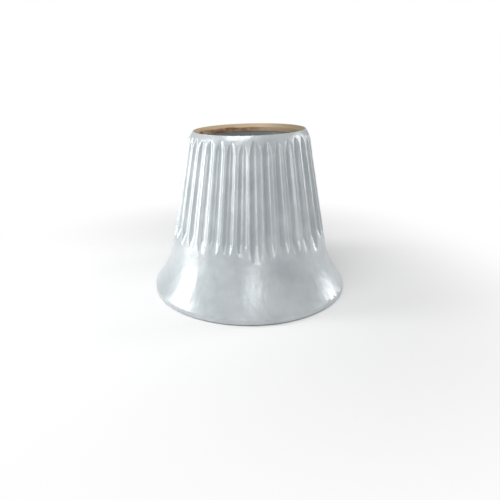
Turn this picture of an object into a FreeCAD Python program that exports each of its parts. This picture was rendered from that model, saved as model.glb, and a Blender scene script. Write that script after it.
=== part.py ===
import FreeCAD, Part
import math
import os
import Sketcher

# Cone crusher mantle: one manganese-steel casting, open at both ends.
# Frame: +Z up along the crushing axis, origin at the centre of the bottom face, millimetres.

DIMENSIONS = {
    # outside, from the base up
    "overall_height": 830,
    "base_diameter": 1034,
    "base_land_height": 28,
    "base_edge_chamfer": 6,
    "low_knee_height": 100,
    "low_knee_width": 51,
    "high_knee_height": 174,
    "high_knee_width": 86,
    "flare_height": 250,
    "flare_width": 107,
    # top end, from the bore out
    "top_seat_diameter": 516,
    "top_seat_height": 20,
    "lead_in_width": 20,
    "lead_in_height": 18,
    "top_land_width": 3,
    "collar_width": 13,
    "collar_height": 24,
    "shoulder_width": 15,
    "shoulder_height": 36,
    # rough cavity and lower machined seat
    "top_relief": 7,
    "wall_at_flare": 54,
    "base_wall": 59,
    "lower_edge_chamfer": 12,
    "lower_seat_height": 96,
    "lower_seat_taper": 25,
    "lower_relief": 8,
    # flutes
    "flute_count": 36,
    "arch_height": 62,
    "ramp_height": 72,
    "skirt_gap": 23,
    "tip_depth": 16.5,
    "high_depth": 13,
    "low_depth": 16,
    "foot_depth": 12.5,
    "flank_angle": 45,
    "high_crown_width": 4,
    "low_crown_width": 5,
    "crown_chamfer_width": 5,
    "crown_chamfer_drop": 2.5,
    "crown_clearance": 0.4,
    "overrun": 15,
}

# Derived sizes, as expressions on the sheet.
BASE_RADIUS = "Dims.base_diameter / 2"
LOW_KNEE_RADIUS = f"({BASE_RADIUS} - Dims.low_knee_width)"
HIGH_KNEE_RADIUS = f"({BASE_RADIUS} - Dims.high_knee_width)"
FLARE_RADIUS = f"({BASE_RADIUS} - Dims.flare_width)"
BORE_RADIUS = "Dims.top_seat_diameter / 2"
LEAD_IN_RADIUS = f"({BORE_RADIUS} + Dims.lead_in_width)"
TOP_RADIUS = f"({LEAD_IN_RADIUS} + Dims.top_land_width)"
COLLAR_RADIUS = f"({TOP_RADIUS} + Dims.collar_width)"
COLLAR_FOOT = "(Dims.overall_height - Dims.collar_height)"
SHOULDER_RADIUS = f"({COLLAR_RADIUS} + Dims.shoulder_width)"
SHOULDER_FOOT = f"({COLLAR_FOOT} - Dims.shoulder_height)"
LEAD_IN_FOOT = "(Dims.overall_height - Dims.lead_in_height)"
TOP_SEAT_FOOT = f"({LEAD_IN_FOOT} - Dims.top_seat_height)"
CAVITY_RADIUS = f"({FLARE_RADIUS} - Dims.wall_at_flare)"
SEAT_FOOT_RADIUS = f"({BASE_RADIUS} - Dims.base_wall - Dims.lower_edge_chamfer)"
SEAT_TOP_RADIUS = f"({SEAT_FOOT_RADIUS} - Dims.lower_seat_height * tan(Dims.lower_seat_taper))"
SEAT_TOP_HEIGHT = "(Dims.lower_edge_chamfer + Dims.lower_seat_height)"
CONE_SLOPE = f"(({FLARE_RADIUS} - {SHOULDER_RADIUS}) / ({SHOULDER_FOOT} - Dims.flare_height))"
HALF_PITCH = "(180 / Dims.flute_count)"
FLUTE_FOOT = "(Dims.flare_height + Dims.skirt_gap)"
LOW_HEIGHT = f"({FLUTE_FOOT} + Dims.ramp_height)"
HIGH_HEIGHT = f"({COLLAR_FOOT} - Dims.arch_height)"


def make_sheet(doc):
    sheet = doc.addObject("Spreadsheet::Sheet", "Dims")
    for row, (name, value) in enumerate(DIMENSIONS.items(), start=1):
        sheet.set(f"A{row}", name)
        sheet.set(f"B{row}", str(value))
        sheet.setAlias(f"B{row}", name)
    doc.recompute()
    return sheet


def worth(sheet, expression):
    """The number that an expression on the sheet comes to."""
    value = sheet.evalExpression(expression)
    return float(getattr(value, "Value", value))


def origin_item(body, role):
    return next(item for item in body.Origin.OriginFeatures if item.Role == role)


def add_sketch(body, name, plane, height="0", turn="0"):
    """A sketch on one of the body's own planes, raised and turned by expressions."""
    sketch = body.newObject("Sketcher::SketchObject", name)
    sketch.AttachmentSupport = [(origin_item(body, plane), "")]
    sketch.MapMode = "FlatFace"
    sketch.setExpression("AttachmentOffset.Base.z", height)
    sketch.setExpression("AttachmentOffset.Rotation.Angle", turn)
    return sketch


def end_at(sketch, edge, point):
    """Which end of an edge lies at a point: 1 for its start, 2 for its end."""
    return min((1, 2), key=lambda end: (sketch.getPoint(edge, end) - point).Length)


def set_place(sketch, edge, end, name, across, up):
    """Dimension one end of an edge from the sketch's origin."""
    for axis, expression in (("X", across), ("Y", up)):
        if expression == "0":
            sketch.addConstraint(Sketcher.Constraint("PointOnObject", edge, end, -1))
            continue
        start = getattr(sketch.getPoint(edge, end), axis.lower())
        number = sketch.addConstraint(
            Sketcher.Constraint(f"Distance{axis}", -1, 1, edge, end, start))
        sketch.renameConstraint(number, f"{name}_{axis.lower()}")
        sketch.setExpression(f"Constraints.{name}_{axis.lower()}", expression)


def arc_leaving(start, end, direction):
    """The arc from start to end that leaves start along a direction."""
    chord = end - start
    normal = FreeCAD.Vector(-direction.y, direction.x, 0)
    radius = chord.dot(chord) / (2 * chord.dot(normal))
    centre = start + normal * radius
    middle = (start + end) * 0.5 - centre
    middle.normalize()
    return Part.Arc(start, centre + middle * abs(radius), end)


def make_profile(body, sheet):
    """Half section of the casting, outside and inside, from the base edge round."""
    corners = [
        ("base_edge", f"{BASE_RADIUS} - Dims.base_edge_chamfer", "0"),
        ("land_foot", BASE_RADIUS, "Dims.base_edge_chamfer"),
        ("land_top", BASE_RADIUS, "Dims.base_land_height"),
        ("low_knee", LOW_KNEE_RADIUS, "Dims.low_knee_height"),
        ("high_knee", HIGH_KNEE_RADIUS, "Dims.high_knee_height"),
        ("cone_foot", FLARE_RADIUS, "Dims.flare_height"),
        ("cone_top", SHOULDER_RADIUS, SHOULDER_FOOT),
        ("collar_foot", COLLAR_RADIUS, COLLAR_FOOT),
        ("top_outer", TOP_RADIUS, "Dims.overall_height"),
        ("top_inner", LEAD_IN_RADIUS, "Dims.overall_height"),
        ("seat_top", BORE_RADIUS, LEAD_IN_FOOT),
        ("seat_foot", BORE_RADIUS, TOP_SEAT_FOOT),
        ("relief_top", f"{BORE_RADIUS} + Dims.top_relief", f"{TOP_SEAT_FOOT} - Dims.top_relief"),
        ("cavity_knee", CAVITY_RADIUS, "Dims.flare_height"),
        ("relief_foot", f"{SEAT_TOP_RADIUS} + Dims.lower_relief",
         f"{SEAT_TOP_HEIGHT} + Dims.lower_relief"),
        ("taper_top", SEAT_TOP_RADIUS, SEAT_TOP_HEIGHT),
        ("taper_foot", SEAT_FOOT_RADIUS, "Dims.lower_edge_chamfer"),
        ("base_inner", f"{SEAT_FOOT_RADIUS} + Dims.lower_edge_chamfer", "0"),
    ]
    names = [name for name, across, up in corners]
    points = [FreeCAD.Vector(worth(sheet, across), worth(sheet, up), 0)
              for name, across, up in corners]
    collar = names.index("collar_foot")
    along_shoulder = points[collar] - points[collar - 1]
    along_shoulder.normalize()
    rounding = arc_leaving(points[collar], points[collar + 1], along_shoulder)

    sketch = add_sketch(body, "CastingProfile", "XZ_Plane")
    count = len(corners)
    for edge in range(count):
        line = Part.LineSegment(points[edge], points[(edge + 1) % count])
        sketch.addGeometry(rounding if edge == collar else line, False)
    for edge in range(count):
        corner = (edge + 1) % count
        kind = "Tangent" if corner == collar else "Coincident"
        sketch.addConstraint(Sketcher.Constraint(
            kind, edge, end_at(sketch, edge, points[corner]),
            corner, end_at(sketch, corner, points[corner])))
    for corner, (name, across, up) in enumerate(corners):
        set_place(sketch, corner, end_at(sketch, corner, points[corner]), name, across, up)
    return sketch


def skin_radius(height):
    """Radius of the plain cone at a height."""
    return f"({FLARE_RADIUS} - ({height} - Dims.flare_height) * {CONE_SLOPE})"


def make_flute_section(body, sheet, name, height, floor, depth, skin, crown):
    """
    One cross-section of a flute's cutter, with X outwards through the middle of the valley.
    Flat floor, slanted flank, eased crown, then straight out past the skin.
    """
    lip_across = f"({skin} * sin({HALF_PITCH}) - {crown} / 2)"
    lip_below_skin = f"({skin} - sqrt({skin} ^ 2 - {lip_across} ^ 2))"
    lip_out = f"({floor} + {depth} - {lip_below_skin} + Dims.crown_clearance)"
    ease_out = f"({lip_out} - Dims.crown_chamfer_drop)"
    ease_across = f"({lip_across} - Dims.crown_chamfer_width)"
    floor_across = f"({ease_across} - ({ease_out} - {floor}) / tan(Dims.flank_angle))"
    corners = [
        ("floor", floor, floor_across),
        ("ease", ease_out, ease_across),
        ("lip", lip_out, lip_across),
        ("rim", f"{lip_out} + Dims.overrun", lip_across),
    ]
    near = [FreeCAD.Vector(worth(sheet, out), worth(sheet, across), 0)
            for _, out, across in corners]
    ring = near + [FreeCAD.Vector(point.x, -point.y, 0) for point in reversed(near)]

    sketch = add_sketch(body, name, "XY_Plane", height, HALF_PITCH)
    count = len(ring)
    for edge in range(count):
        sketch.addGeometry(Part.LineSegment(ring[edge], ring[(edge + 1) % count]), False)
    for edge in range(count):
        sketch.addConstraint(Sketcher.Constraint("Coincident", edge, 2, (edge + 1) % count, 1))
    for corner, (label, out, across) in enumerate(corners):
        set_place(sketch, corner, 1, label, out, across)
        mirrored = count - 1 - corner
        sketch.addConstraint(Sketcher.Constraint("Symmetric", corner, 1, mirrored, 1, -1))
    return sketch


def make_flutes(body, sheet):
    """One flute lofted through four sections, then turned round the cone."""
    high_floor = f"({skin_radius(HIGH_HEIGHT)} - Dims.high_depth)"
    low_floor = f"({skin_radius(LOW_HEIGHT)} - Dims.low_depth)"
    foot_floor = skin_radius(FLUTE_FOOT)
    past_tip = f"({COLLAR_RADIUS} + ({COLLAR_RADIUS} - {high_floor}) * Dims.overrun / Dims.arch_height)"
    past_foot = f"({foot_floor} + ({foot_floor} - {low_floor}) * Dims.overrun / Dims.ramp_height)"
    sections = [
        make_flute_section(body, sheet, "FluteFoot", f"{FLUTE_FOOT} - Dims.overrun",
                           past_foot, "Dims.foot_depth", foot_floor, "Dims.low_crown_width"),
        make_flute_section(body, sheet, "FluteLow", LOW_HEIGHT, low_floor, "Dims.low_depth",
                           skin_radius(LOW_HEIGHT), "Dims.low_crown_width"),
        make_flute_section(body, sheet, "FluteHigh", HIGH_HEIGHT, high_floor, "Dims.high_depth",
                           skin_radius(HIGH_HEIGHT), "Dims.high_crown_width"),
        make_flute_section(body, sheet, "FluteTip", f"{COLLAR_FOOT} + Dims.overrun",
                           past_tip, "Dims.tip_depth", COLLAR_RADIUS, "Dims.high_crown_width"),
    ]
    flute = body.newObject("PartDesign::SubtractiveLoft", "Flute")
    flute.Profile = sections[0]
    flute.Sections = sections[1:]
    flute.Ruled = True
    body.Document.recompute()

    ring = body.newObject("PartDesign::PolarPattern", "FluteRing")
    ring.Originals = [flute]
    ring.Axis = (origin_item(body, "Z_Axis"), [""])
    ring.Angle = 360
    ring.setExpression("Occurrences", "Dims.flute_count")
    body.Tip = ring
    return ring


def make_mantle(doc, sheet):
    body = doc.addObject("PartDesign::Body", "Mantle")
    body.Label = "mantle"
    casting = body.newObject("PartDesign::Revolution", "Casting")
    casting.Profile = make_profile(body, sheet)
    casting.ReferenceAxis = (origin_item(body, "Z_Axis"), [""])
    casting.Angle = 360
    doc.recompute()
    plain_volume = casting.Shape.Volume
    make_flutes(body, sheet)
    doc.recompute()
    if not body.Shape.Volume < plain_volume:
        raise RuntimeError("the flutes cut nothing")
    return body


def check(doc, bodies):
    for item in doc.Objects:
        if {"Invalid", "Error"} & set(item.State):
            raise RuntimeError(f"{item.Name} failed: {item.State}")
    for body in bodies:
        if body.Shape.isNull() or not body.Shape.isValid() or len(body.Shape.Solids) != 1:
            raise RuntimeError(f"{body.Label} is not one valid solid")


def main():
    doc = FreeCAD.newDocument("ConeCrusherMantle")
    sheet = make_sheet(doc)
    bodies = [make_mantle(doc, sheet)]
    check(doc, bodies)
    os.makedirs("parts", exist_ok=True)
    for body in bodies:
        body.Shape.exportStep(f"parts/{body.Label}.step")
        print(body.Label, "volume", round(body.Shape.Volume / 1e9, 5), "m3")


main()
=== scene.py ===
import math

import bpy
import numpy as np
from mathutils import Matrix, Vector, noise


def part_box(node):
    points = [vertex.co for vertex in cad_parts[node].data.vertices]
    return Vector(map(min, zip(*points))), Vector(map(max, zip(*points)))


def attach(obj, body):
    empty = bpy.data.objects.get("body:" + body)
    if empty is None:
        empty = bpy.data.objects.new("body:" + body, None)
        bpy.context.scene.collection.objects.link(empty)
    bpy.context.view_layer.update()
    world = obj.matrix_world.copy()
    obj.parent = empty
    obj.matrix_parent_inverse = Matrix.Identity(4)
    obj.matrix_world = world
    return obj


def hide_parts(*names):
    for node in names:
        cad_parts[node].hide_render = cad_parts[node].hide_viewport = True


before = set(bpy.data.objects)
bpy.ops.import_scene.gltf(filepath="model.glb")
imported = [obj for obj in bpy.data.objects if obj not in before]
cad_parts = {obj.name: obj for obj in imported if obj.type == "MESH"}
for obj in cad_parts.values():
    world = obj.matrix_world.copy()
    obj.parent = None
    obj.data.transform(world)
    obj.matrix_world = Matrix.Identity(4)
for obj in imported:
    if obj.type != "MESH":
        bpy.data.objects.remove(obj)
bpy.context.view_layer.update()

castingLow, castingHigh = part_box("mantle")

# view: from the front, a little above the casting's top
viewSetup = {
    "distance": 2.308,  # from the casting's axis
    "height": 1.074,
    "sideStep": 0.004,
    "lookDown": 21.26,  # degrees
    "lens": 32.16,
}


def addCamera(setup):
    bpy.ops.object.select_all(action="DESELECT")
    place = (setup["sideStep"], -setup["distance"], setup["height"])
    tilt = (math.radians(90 - setup["lookDown"]), 0, 0)
    bpy.ops.object.camera_add(location=place, rotation=tilt)
    camera = bpy.context.object
    camera.data.lens = setup["lens"]
    camera.data.sensor_width = 36
    camera.data.clip_end = 60
    bpy.context.scene.camera = camera


# studio: place, width, height and power of each lamp, and an even sky
studioSetup = {
    "lamps": {
        "sideWindow": ((-3.0, -0.35, 1.25), 0.9, 2.2, 62),
        "frontWindow": ((0.25, -3.6, 1.35), 0.7, 1.5, 20),
        "farWindow": ((2.9, 0.9, 1.3), 0.9, 2.0, 34),
        "roofLamp": ((-0.7, -0.9, 3.3), 1.6, 1.6, 46),
    },
    "skyStrength": 0.36,
    "aim": (0, 0, 0.55),
    "floorSize": 60, "floorDrop": 0.0005,
    "floorColour": (0.86, 0.86, 0.86, 1),
    "shadowReach": (0.75, 1.9),  # where the floor starts and ends its fade to white
}


def addLamp(name, place, width, height, power, aim):
    bpy.ops.object.select_all(action="DESELECT")
    bpy.ops.object.light_add(type="AREA", location=place)
    lamp = bpy.context.object
    lamp.name = name
    lamp.data.shape = "RECTANGLE"
    lamp.data.size = width
    lamp.data.size_y = height
    lamp.data.energy = power
    lamp.rotation_euler = (Vector(aim) - Vector(place)).to_track_quat("-Z", "Y").to_euler()


# one socket, so that shader maths reads as sums
class Wire:
    def __init__(self, graph, socket):
        self.graph = graph
        self.socket = socket

    def maths(self, operation, other=None, swap=False):
        pair = [self] if other is None else [self, other]
        if swap:
            pair.reverse()
        values = {place: value for place, value in enumerate(pair)}
        return self.graph.add("ShaderNodeMath", {"operation": operation}, values)

    def __add__(self, other):
        return self.maths("ADD", other)

    __radd__ = __add__

    def __sub__(self, other):
        return self.maths("SUBTRACT", other)

    def __rsub__(self, other):
        return self.maths("SUBTRACT", other, swap=True)

    def __mul__(self, other):
        return self.maths("MULTIPLY", other)

    __rmul__ = __mul__

    def clamp(self):
        return self.graph.add("ShaderNodeClamp", {}, {0: self})

    def step(self, low, high):
        settings = {"interpolation_type": "SMOOTHSTEP"}
        return self.graph.add("ShaderNodeMapRange", settings, {0: self, 1: low, 2: high})


class Graph:
    def __init__(self, name):
        self.material = bpy.data.materials.new(name)
        self.material.use_nodes = True
        self.tree = self.material.node_tree
        self.tree.nodes.clear()

    # settings go on first, then the values or links of the sockets
    def add(self, kind, settings, inputs, output=0):
        node = self.tree.nodes.new(kind)
        for name, value in settings.items():
            setattr(node, name, value)
        for name, value in inputs.items():
            if isinstance(value, Wire):
                self.tree.links.new(value.socket, node.inputs[name])
            else:
                node.inputs[name].default_value = value
        return Wire(self, node.outputs[output])

    def place(self):
        return self.add("ShaderNodeTexCoord", {}, {}, "Object")

    def noise(self, scale, detail=3.0, roughness=0.5, stretch=None):
        where = self.place()
        if stretch:
            where = self.add("ShaderNodeMapping", {}, {"Vector": where, "Scale": stretch})
        inputs = {"Vector": where, "Scale": scale, "Detail": detail, "Roughness": roughness}
        return self.add("ShaderNodeTexNoise", {}, inputs, "Fac")

    def mask(self, name):
        return self.add("ShaderNodeAttribute", {"attribute_name": name}, {}, "Fac")

    def blend(self, amount, first, second):
        return self.add("ShaderNodeMix", {"data_type": "RGBA"},
                        {0: amount, 6: first, 7: second}, 2)

    def finish(self, shader):
        output = self.tree.nodes.new("ShaderNodeOutputMaterial")
        self.tree.links.new(shader.socket, output.inputs["Surface"])
        return self.material


print("frame and helpers ready")


# casting: heights and radii in metres, from the base up
castingSetup = {
    "steps": 720,  # columns round the axis, twenty to a flute
    "fluteCount": 36,
    "baseChamfer": 0.006, "baseLand": 0.028,
    "flareHeight": 0.250, "flareWidth": 0.107,
    "shoulderRadius": 0.309, "shoulderHeight": 0.770,
    "topRadius": 0.281, "landRadius": 0.278,
    "seatRadius": 0.258, "seatTop": 0.812, "seatFoot": 0.792,
    "cavityTop": (0.265, 0.785), "cavityKnee": (0.356, 0.250),
    "reliefFoot": (0.4092, 0.116), "taperTop": (0.4012, 0.108),
    "taperFoot": (0.446, 0.012), "baseInner": 0.458,
    # rows of faces up the outside, then down the inside
    "skirtRows": 18, "rampRows": 21, "coneRows": 32, "neckRows": 10, "archRows": 23,
    "turnedRows": 3, "cavityRows": 12, "flareRows": 4, "taperRows": 3,
    "rampMargin": 0.012, "archMargin": 0.016,  # close rows reach this far into the cone
    # heights past which the faces are turned, or shown bare
    "turnedHeight": 0.786, "bareHeight": 0.7875, "topLand": 0.829,
    "taperHeight": 0.11, "seatHeight": 0.112, "baseHeight": 0.007, "baseFace": 0.001,
    "leanFoot": 0.70, "leanMiddle": -0.002, "leanRise": 0.007,
    "skinTolerance": 2e-4, "mergeDistance": 1e-5,
    "smoothAngle": 38,  # degrees
}

# flutes: how the valleys are cut, and how unevenly they were cast
fluteSetup = {
    "heights": (0.258, 0.345, 0.744, 0.806),  # past the foot, full depth, full depth, tip
    "floorRadii": (0.4135, 0.3758, 0.3008, 0.2948),
    "halfFloors": (0.0190, 0.0128, 0.0104, 0.0058),
    "flankSlope": 1.05,
    "rootBlend": 0.009, "crownBlend": 0.0022,
    "depthChange": 0.0012, "widthChange": 0.0010, "swayChange": 0.0012,
    "tipChange": 0.006, "footChange": 0.008,
    "bossHeight": 0.0022, "ledgeHeight": 0.0018,
    "tipEase": 0.03, "footEase": (-0.05, 0.04),  # where the uneven tips and feet fade out
    "leastHalfFloor": 0.002, "leastDepth": 0.0015, "leastHalfLand": 0.0025, "leastFlank": 0.001,
    # shares across the half floor, the flank and the half crown where the columns stand
    "floorStops": (0, 0.45, 0.82), "flankStops": (0.04, 0.24, 0.48, 0.72, 0.92),
    "crownStops": (0.14, 0.5, 1),
    "footFade": (0.255, 0.272), "tipFade": (0.808, 0.818),
    "bossRise": (0.752, 0.778), "bossFall": (0.786, 0.806),
    "ledgeRise": (0.262, 0.276), "ledgeFall": (0.284, 0.318),
    "bossRange": (0.2, 1), "ledgeRange": (-0.4, 1), "bossSpread": 0.62,
    "fullDepth": 0.013,
    "lumpSize": 0.030, "lumpHeight": 0.0009,
    "grainSize": 0.010, "grainHeight": 0.00035,
    "seed": 17,
}


# the arc between two points that leaves the first one along the given direction
def arcPoints(start, end, direction, count):
    heading = Vector(direction).normalized()
    normal = Vector((-heading.y, heading.x))
    chord = Vector(end) - Vector(start)
    radius = chord.length_squared / (2 * chord.dot(normal))
    centre = Vector(start) + normal * radius
    turn = 2 * math.atan2(chord.dot(normal), chord.dot(heading))
    spoke = Vector(start) - centre
    points = []
    for step in range(1, count + 1):
        angle = turn * step / count
        turned = Vector((spoke.x * math.cos(angle) - spoke.y * math.sin(angle),
                         spoke.x * math.sin(angle) + spoke.y * math.cos(angle)))
        points.append(tuple(centre + turned))
    return points


def straightPoints(start, end, count):
    first, last = Vector(start), Vector(end)
    return [tuple(first.lerp(last, step / count)) for step in range(1, count + 1)]


# the outside from the base edge to the top land
def outsidePoints(setup):
    baseRadius = castingHigh[0]
    top = castingHigh[2]
    flare = (baseRadius - setup["flareWidth"], setup["flareHeight"])
    shoulder = (setup["shoulderRadius"], setup["shoulderHeight"])
    coneSlope = (shoulder[0] - flare[0]) / (shoulder[1] - flare[1])
    land = (baseRadius, setup["baseLand"])
    points = [(baseRadius - setup["baseChamfer"], 0), (baseRadius, setup["baseChamfer"]), land]
    skirt = arcPoints(flare, land, (-coneSlope, -1), setup["skirtRows"])
    points += list(reversed(skirt))[1:] + [flare]

    def onCone(height):
        return (flare[0] + coneSlope * (height - flare[1]), height)

    ramp = fluteSetup["heights"][1] + setup["rampMargin"]
    cone = fluteSetup["heights"][2] - setup["archMargin"]
    points += straightPoints(flare, onCone(ramp), setup["rampRows"])
    points += straightPoints(onCone(ramp), onCone(cone), setup["coneRows"])
    points += straightPoints(onCone(cone), shoulder, setup["neckRows"])
    points += arcPoints(shoulder, (setup["topRadius"], top), (coneSlope, 1), setup["archRows"])
    return points


# the inside from the top land down to the base
def insidePoints(setup):
    top = castingHigh[2]
    seatHigh = (setup["seatRadius"], setup["seatTop"])
    seatLow = (setup["seatRadius"], setup["seatFoot"])
    points = [(setup["landRadius"], top)]
    points += straightPoints(points[0], seatHigh, setup["turnedRows"])
    points += straightPoints(seatHigh, seatLow, setup["turnedRows"])
    points += [setup["cavityTop"]]
    points += straightPoints(setup["cavityTop"], setup["cavityKnee"], setup["cavityRows"])
    points += straightPoints(setup["cavityKnee"], setup["reliefFoot"], setup["flareRows"])
    points += [setup["taperTop"]]
    points += straightPoints(setup["taperTop"], setup["taperFoot"], setup["taperRows"])
    points += [(setup["baseInner"], 0)]
    return points


def addProfile(name, points):
    bpy.ops.object.select_all(action="DESELECT")
    bpy.ops.mesh.primitive_plane_add(size=0.01, location=(0, 0, 0))
    piece = bpy.context.object
    piece.name = name
    bpy.ops.object.mode_set(mode="EDIT")
    bpy.ops.mesh.select_all(action="SELECT")
    bpy.ops.mesh.merge(type="CENTER")
    bpy.ops.transform.translate(value=(points[0][0], 0, points[0][1]))
    for start, end in zip(points, points[1:] + points[:1]):
        step = (end[0] - start[0], 0, end[1] - start[1])
        bpy.ops.mesh.extrude_region_move(TRANSFORM_OT_translate={"value": step})
    return piece


def spinProfile(setup):
    bpy.ops.mesh.select_all(action="SELECT")
    bpy.ops.mesh.remove_doubles(threshold=setup["mergeDistance"])
    bpy.ops.mesh.select_all(action="SELECT")
    bpy.ops.mesh.spin(steps=setup["steps"], angle=math.tau, center=(0, 0, 0), axis=(0, 0, 1))
    bpy.ops.mesh.select_all(action="SELECT")
    bpy.ops.mesh.remove_doubles(threshold=setup["mergeDistance"])
    bpy.ops.mesh.normals_make_consistent(inside=False)
    bpy.ops.mesh.select_all(action="DESELECT")
    bpy.ops.object.mode_set(mode="OBJECT")


def smoothMax(first, second, blend):
    share = np.clip(0.5 + 0.5 * (first - second) / blend, 0, 1)
    return second + (first - second) * share + blend * share * (1 - share)


def smoothMin(first, second, blend):
    return -smoothMax(-first, -second, blend)


def smoothStep(low, high, values):
    share = np.clip((values - low) / (high - low), 0, 1)
    return share * share * (3 - 2 * share)


# a straight-line curve that carries on past both its ends
def carryOn(values, places, levels):
    inside = np.interp(values, places, levels)
    below = (levels[1] - levels[0]) / (places[1] - places[0]) * np.minimum(values - places[0], 0)
    above = (levels[-1] - levels[-2]) / (places[-1] - places[-2]) * np.maximum(values - places[-1], 0)
    return inside + below + above


def readPlaces(mesh):
    places = np.empty(len(mesh.vertices) * 3)
    mesh.vertices.foreach_get("co", places)
    return places.reshape(-1, 3)


def writeMask(mesh, name, values):
    mask = mesh.attributes.new(name, "FLOAT", "POINT")
    mask.data.foreach_set("value", values.astype(np.float32))


# cuts the flutes by moving the columns sideways on to their edges and the surface inwards,
# marks the turned faces and gives back each point's share of the cast skin
def cutFlutes(piece, setup, flutes):
    mesh = piece.data
    places = readPlaces(mesh)
    radius = np.hypot(places[:, 0], places[:, 1])
    height = places[:, 2]
    outline = np.array(outsidePoints(setup))
    skin = np.interp(height, outline[:, 1], outline[:, 0])
    outside = np.abs(radius - skin) < setup["skinTolerance"]

    perFlute = setup["steps"] // setup["fluteCount"]
    column = np.round(np.arctan2(places[:, 1], places[:, 0]) / math.tau * setup["steps"]).astype(int)
    column %= setup["steps"]
    flute = column // perFlute
    offset = column % perFlute - perFlute // 2  # from the middle of the valley
    pitch = math.tau / setup["fluteCount"]

    rng = np.random.default_rng(flutes["seed"])
    count = setup["fluteCount"]
    deeper = rng.normal(0, flutes["depthChange"], count)[flute]
    wider = rng.normal(0, flutes["widthChange"], count)[flute]
    sway = rng.normal(0, flutes["swayChange"], count)[flute]
    tipUp = rng.uniform(-1, 1, count)[flute] * flutes["tipChange"]
    footUp = rng.uniform(-1, 1, count)[flute] * flutes["footChange"]

    low, high = flutes["heights"][1], flutes["heights"][2]
    level = height - np.where(height > high, tipUp, 0) * smoothStep(
        high, high + flutes["tipEase"], height)
    easeStart, easeEnd = flutes["footEase"]
    level -= footUp * (1 - smoothStep(low + easeStart, low + easeEnd, height))
    depth = skin - carryOn(level, flutes["heights"], flutes["floorRadii"]) + deeper
    halfFloor = carryOn(level, flutes["heights"], flutes["halfFloors"]) + wider
    halfFloor = np.maximum(halfFloor, flutes["leastHalfFloor"])
    halfPitch = skin * pitch / 2
    lip = halfFloor + np.maximum(depth, flutes["leastDepth"]) / flutes["flankSlope"]
    lip = np.minimum(lip, halfPitch - flutes["leastHalfLand"])
    halfFloor = np.minimum(halfFloor, lip - flutes["leastFlank"])

    # eleven columns from the middle of the valley to the middle of the crown
    flank = lip - halfFloor
    land = halfPitch - lip
    stops = np.stack([halfFloor * share for share in flutes["floorStops"]]
                     + [halfFloor + flank * share for share in flutes["flankStops"]]
                     + [lip + land * share for share in flutes["crownStops"]], axis=1)
    steps = np.abs(offset)
    across = stops[np.arange(len(steps)), steps]
    fluted = smoothStep(*flutes["footFade"], height) * (1 - smoothStep(*flutes["tipFade"], height))
    even = halfPitch * steps / (perFlute / 2)
    across = even + (across - even) * fluted

    rise = smoothMax(0, flutes["flankSlope"] * (across - halfFloor), flutes["rootBlend"])
    sunk = smoothMin(0, rise - depth, flutes["crownBlend"])
    sunk = np.where(outside, sunk, 0) * fluted
    side = np.sign(offset) * across + sway * fluted * (1 - across / halfPitch)
    turn = (flute + 0.5) * pitch + side / skin

    # crowns end in rough bosses between the tips, and in ledges at the foot
    crown = (flute + (offset > 0)) % count
    boss = rng.uniform(*flutes["bossRange"], count)[crown] * flutes["bossHeight"]
    ledge = rng.uniform(*flutes["ledgeRange"], count)[crown] * flutes["ledgeHeight"]
    nearCrown = np.clip(1 - (halfPitch - across) / (halfPitch * flutes["bossSpread"]), 0, 1)
    bossBand = smoothStep(*flutes["bossRise"], height)
    bossBand *= 1 - smoothStep(*flutes["bossFall"], height)
    ledgeBand = smoothStep(*flutes["ledgeRise"], height)
    ledgeBand *= 1 - smoothStep(*flutes["ledgeFall"], height)
    raised = nearCrown * (boss * bossBand + ledge * ledgeBand)

    newRadius = radius + np.where(outside, sunk + raised, 0)
    newTurn = np.where(outside, turn, np.arctan2(places[:, 1], places[:, 0]))
    places[:, 0] = newRadius * np.cos(newTurn)
    places[:, 1] = newRadius * np.sin(newTurn)
    mesh.vertices.foreach_set("co", places.ravel())

    inside = ~outside & (radius < skin - setup["skinTolerance"])
    machined = inside & (height > setup["turnedHeight"]) | (height > setup["topLand"])
    machined |= inside & (height < setup["taperHeight"]) | (height < setup["baseHeight"])
    bare = inside & (height > setup["bareHeight"])
    seat = inside & (height < setup["seatHeight"]) | (height < setup["baseFace"])
    writeMask(mesh, "valley", np.clip(-sunk / flutes["fullDepth"], 0, 1))
    writeMask(mesh, "bare", bare.astype(float))
    writeMask(mesh, "seat", seat.astype(float))
    mesh.update()
    return np.where(machined, 0.0, 1.0)


# the top leans, a little low on the left and high on the right
def leanTop(piece, setup):
    mesh = piece.data
    places = readPlaces(mesh)
    share = smoothStep(setup["leanFoot"], castingHigh[2], places[:, 2])
    side = places[:, 0] / setup["topRadius"]
    places[:, 2] += share * (setup["leanMiddle"] + setup["leanRise"] * side)
    mesh.vertices.foreach_set("co", places.ravel())
    mesh.update()


# the skin that the sand mould leaves: soft lumps and a finer grain
def roughen(piece, rough, flutes):
    mesh = piece.data
    places = readPlaces(mesh)
    normals = np.empty(len(mesh.vertices) * 3)
    mesh.vertices.foreach_get("normal", normals)
    normals = normals.reshape(-1, 3)
    shift = np.zeros(len(places))
    for size, amount in ((flutes["lumpSize"], flutes["lumpHeight"]),
                         (flutes["grainSize"], flutes["grainHeight"])):
        shift += amount * np.array([noise.noise(Vector(place) / size) for place in places])
    places += normals * (shift * rough)[:, None]
    mesh.vertices.foreach_set("co", places.ravel())
    mesh.update()


casting = addProfile("flutedCasting", outsidePoints(castingSetup) + insidePoints(castingSetup))
spinProfile(castingSetup)
print("casting spun:", len(casting.data.vertices), "points")
roughShare = cutFlutes(casting, castingSetup, fluteSetup)
roughen(casting, roughShare, fluteSetup)
leanTop(casting, castingSetup)
bpy.ops.object.select_all(action="DESELECT")
casting.select_set(True)
bpy.context.view_layer.objects.active = casting
bpy.ops.object.shade_smooth_by_angle(angle=math.radians(castingSetup["smoothAngle"]))
print("flutes cut:", len(casting.data.polygons), "faces")


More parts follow.
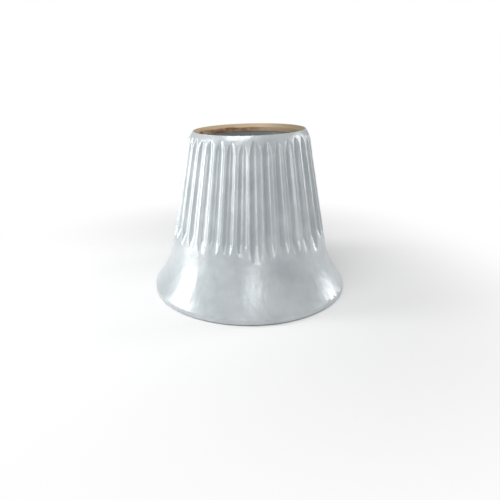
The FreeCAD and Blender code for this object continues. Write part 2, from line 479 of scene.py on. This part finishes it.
# colours and grain of the casting, and where the turned band rusts
paintSetup = {
    "paintDeep": (0.47, 0.51, 0.53, 1), "paintPale": (0.575, 0.615, 0.63, 1),
    # painted shade: a darker grey for the flute valleys, standing in for the shade that falls in them
    "valleyShade": (0.40, 0.43, 0.44, 1),
    # painted shade: a dark olive for the right side of the turned band, where shade falls inside the
    # bore
    "turnedTan": (0.52, 0.40, 0.26, 1), "turnedShadeOlive": (0.20, 0.165, 0.10, 1),
    "rust": (0.27, 0.075, 0.014, 1),
    "seatSteel": (0.36, 0.34, 0.31, 1),
    "cloudScale": 6, "peelScale": 230, "pebbleScale": 85,
    "valleyShadeBreakupScale": 9, "valleyShadeBreakupStretch": (6, 6, 0.8),
    "streakScale": 13, "streakStretch": (1, 1, 3.5),
    "valleyShadeShare": 0.35,
    "bevelFoot": (0.806, 0.815),  # heights between the rusted seat and the cleaner bevel
    "rustReach": (-0.12, 0.16), "rightShadeReach": (0.02, 0.26),  # from left to right
    "roughness": 0.27, "metallic": 0.22,
    "bumpStrength": 0.5, "bumpDepth": 0.0016,
}


def makeCastingPaint(setup):
    graph = Graph("castingPaint")
    across, height = [graph.add("ShaderNodeSeparateXYZ", {}, {0: graph.place()}, axis)
                      for axis in "XZ"]
    bare = graph.mask("bare")
    seat = graph.mask("seat")
    valley = graph.mask("valley")

    cloud = graph.noise(setup["cloudScale"], 4, 0.55)
    valleyShadeBreakup = graph.noise(setup["valleyShadeBreakupScale"], 3, 0.6, stretch=setup["valleyShadeBreakupStretch"])
    paint = graph.blend(cloud.step(0.35, 0.7), setup["paintDeep"], setup["paintPale"])
    # painted shade: the deeper the valley, the darker the paint, broken up by stretched noise
    paintedValleyShade = valley * valleyShadeBreakup.step(0.45, 0.75) * setup["valleyShadeShare"]
    paint = graph.blend(paintedValleyShade, paint, setup["valleyShade"])

    # the turned band: tan, with painted shade darkening it to olive towards the right, rusted below
    # the bevel
    low = 1 - height.step(*setup["bevelFoot"])
    streaks = graph.noise(setup["streakScale"], 5, 0.62, stretch=setup["streakStretch"])
    leftwards = 1 - across.step(*setup["rustReach"])
    rusted = streaks.step(0.42, 0.60) * (low * 0.75 + 0.10) * (leftwards * 0.8 + 0.2)
    # painted shade: the turned band darkens to olive towards the right
    rightShade = across.step(*setup["rightShadeReach"]) * 0.75
    turned = graph.blend(rightShade, setup["turnedTan"], setup["turnedShadeOlive"])
    turned = graph.blend(rusted.clamp(), turned, setup["rust"])
    colour = graph.blend(bare, paint, turned)
    colour = graph.blend(seat, colour, setup["seatSteel"])

    peel = graph.noise(setup["peelScale"], 2, 0.5)
    pebbles = graph.noise(setup["pebbleScale"], 3, 0.55)
    skin = (peel * 0.3 + pebbles * 0.7) * (1 - bare) * (1 - seat)
    bump = graph.add("ShaderNodeBump", {}, {
        "Strength": setup["bumpStrength"], "Distance": setup["bumpDepth"], "Height": skin})
    roughness = cloud * 0.10 + setup["roughness"] + bare * 0.22
    shader = graph.add("ShaderNodeBsdfPrincipled", {}, {
        "Base Color": colour, "Roughness": roughness, "Normal": bump,
        "Metallic": seat * 0.5 + setup["metallic"] - bare * 0.1})
    return graph.finish(shader)


casting.data.materials.clear()
casting.data.materials.append(makeCastingPaint(paintSetup))
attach(casting, "root")
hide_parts("mantle")
print("casting finished")


# pale round the casting, where its shadow falls, and white further out
def makeFloorFinish(setup):
    graph = Graph("studioFloor")
    flat = graph.add("ShaderNodeVectorMath", {"operation": "MULTIPLY"},
                     {0: graph.place(), 1: (1, 1, 0)})
    reach = graph.add("ShaderNodeVectorMath", {"operation": "LENGTH"}, {0: flat}, "Value")
    far = reach.step(*setup["shadowReach"])
    seen = graph.add("ShaderNodeLightPath", {}, {}, "Is Camera Ray")
    ground = graph.add("ShaderNodeBsdfPrincipled", {}, {
        "Base Color": setup["floorColour"], "Roughness": 0.9})
    white = graph.add("ShaderNodeEmission", {}, {"Color": (1, 1, 1, 1), "Strength": 1.0})
    shader = graph.add("ShaderNodeMixShader", {}, {0: far * seen, 1: ground, 2: white})
    return graph.finish(shader)


def addFloor(setup):
    bpy.ops.object.select_all(action="DESELECT")
    floorHeight = castingLow[2] - setup["floorDrop"]
    bpy.ops.mesh.primitive_plane_add(size=setup["floorSize"], location=(0, 0, floorHeight))
    floor = bpy.context.object
    floor.name = "studioFloor"
    floor.data.materials.append(makeFloorFinish(setup))


# white behind the casting, and a soft even light on everything else
def makeSky(strength):
    world = bpy.data.worlds.new("studioSky")
    bpy.context.scene.world = world
    world.use_nodes = True
    tree = world.node_tree
    tree.nodes.clear()
    seen = tree.nodes.new("ShaderNodeBackground")
    seen.inputs["Color"].default_value = (1, 1, 1, 1)
    sky = tree.nodes.new("ShaderNodeBackground")
    sky.inputs["Color"].default_value = (1, 1, 1, 1)
    sky.inputs["Strength"].default_value = strength
    path = tree.nodes.new("ShaderNodeLightPath")
    mix = tree.nodes.new("ShaderNodeMixShader")
    output = tree.nodes.new("ShaderNodeOutputWorld")
    tree.links.new(path.outputs["Is Camera Ray"], mix.inputs[0])
    tree.links.new(sky.outputs[0], mix.inputs[1])
    tree.links.new(seen.outputs[0], mix.inputs[2])
    tree.links.new(mix.outputs[0], output.inputs["Surface"])


addCamera(viewSetup)
for lampName, (place, width, height, power) in studioSetup["lamps"].items():
    addLamp(lampName, place, width, height, power, studioSetup["aim"])
addFloor(studioSetup)
makeSky(studioSetup["skyStrength"])
bpy.context.scene.view_settings.view_transform = "Standard"
print("studio ready")
